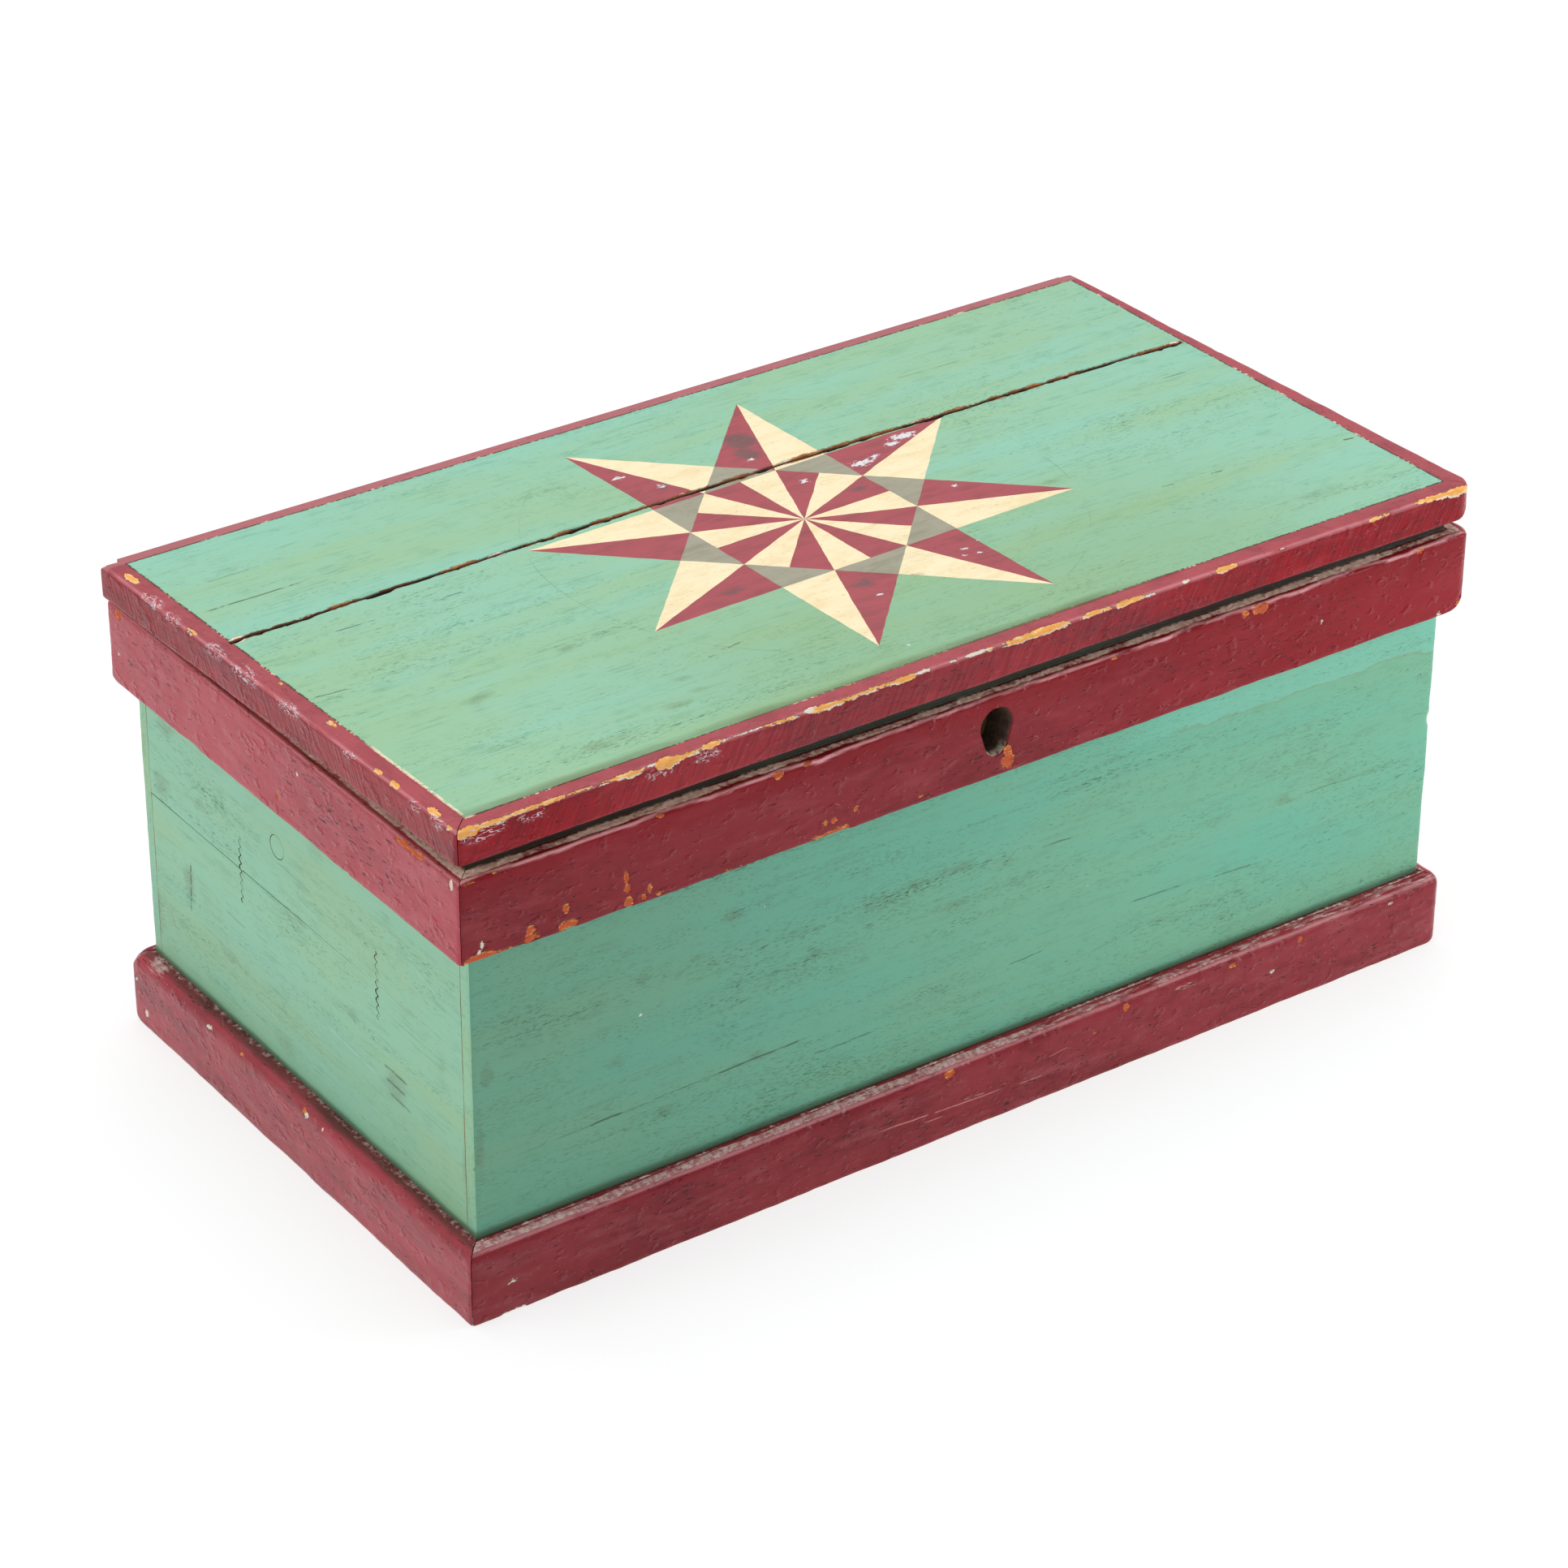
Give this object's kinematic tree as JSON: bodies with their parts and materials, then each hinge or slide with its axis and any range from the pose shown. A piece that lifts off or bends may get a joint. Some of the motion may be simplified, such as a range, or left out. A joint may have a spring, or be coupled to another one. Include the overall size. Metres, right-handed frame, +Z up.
{
  "type": "sailor's box",
  "caption": "Small painted pine chest with a banded carcass, a plinth, a lipped lid on butt hinges and a chest lock behind a keyhole.",
  "frame": {"origin": "under the middle of the whole box, on the surface that it stands on", "axes": "+X along the front towards the right, +Y from the front to the back, +Z up"},
  "size_m": [0.525, 0.2898, 0.2355],
  "materials": {
    "green_paint": "old satin oil paint, cloudy green, worn and pitted along the grain",
    "red_paint": "old glossy dark red oil paint, chipped to primer and wood on the edges",
    "bare_pine": "bare, aged and dusty",
    "iron": "dull, lightly rusted",
    "brass": "dull, tarnished"
  },
  "bodies": {
    "box": {"front_board": "green_paint", "back_board": "green_paint", "left_end_upper_board": "green_paint", "left_end_lower_board": "green_paint", "right_end_upper_board": "green_paint", "right_end_lower_board": "green_paint", "bottom_front_board": "bare_pine", "bottom_back_board": "bare_pine", "band_front": "red_paint", "band_back": "red_paint", "band_left": "red_paint", "band_right": "red_paint", "plinth_front": "red_paint", "plinth_back": "red_paint", "plinth_left": "red_paint", "plinth_right": "red_paint", "left_end_corrugated_fasteners": "iron", "right_end_corrugated_fasteners": "iron", "left_end_plug": "green_paint", "carcass_nails": "iron", "bottom_nails": "iron", "band_nails": "iron", "plinth_nails": "iron", "box_hinge_leaf_left": "iron", "box_hinge_leaf_right": "iron", "hinge_pin_left": "iron", "hinge_pin_right": "iron", "box_hinge_screws": "iron", "lock_plate": "brass", "lock_case": "brass", "lock_key_pin": "iron", "lock_spring": "iron", "lock_screws": "iron"},
    "lid": {"lid_front_board": "green_paint", "lid_back_board": "green_paint", "lid_front_strip": "red_paint", "lid_left_strip": "red_paint", "lid_right_strip": "red_paint", "lid_corrugated_fasteners": "iron", "lid_strip_nails": "iron", "lid_hinge_leaf_left": "iron", "lid_hinge_leaf_right": "iron", "lid_hinge_screws": "iron", "lock_strike": "brass", "strike_screws": "iron"},
    "bolt": {"lock_bolt": "brass"}
  },
  "joints": [
    {"name": "lid_hinge", "type": "hinge", "parent": "box", "child": "lid", "pos_m": [0, 0.1419, 0.2138], "axis": [-1, 0, 0], "range_deg": [-1.46, 175]},
    {"name": "bolt_slide", "type": "slide", "parent": "box", "child": "bolt", "axis": [1, 0, 0], "range_m": [0, 0.007]}
  ]
}
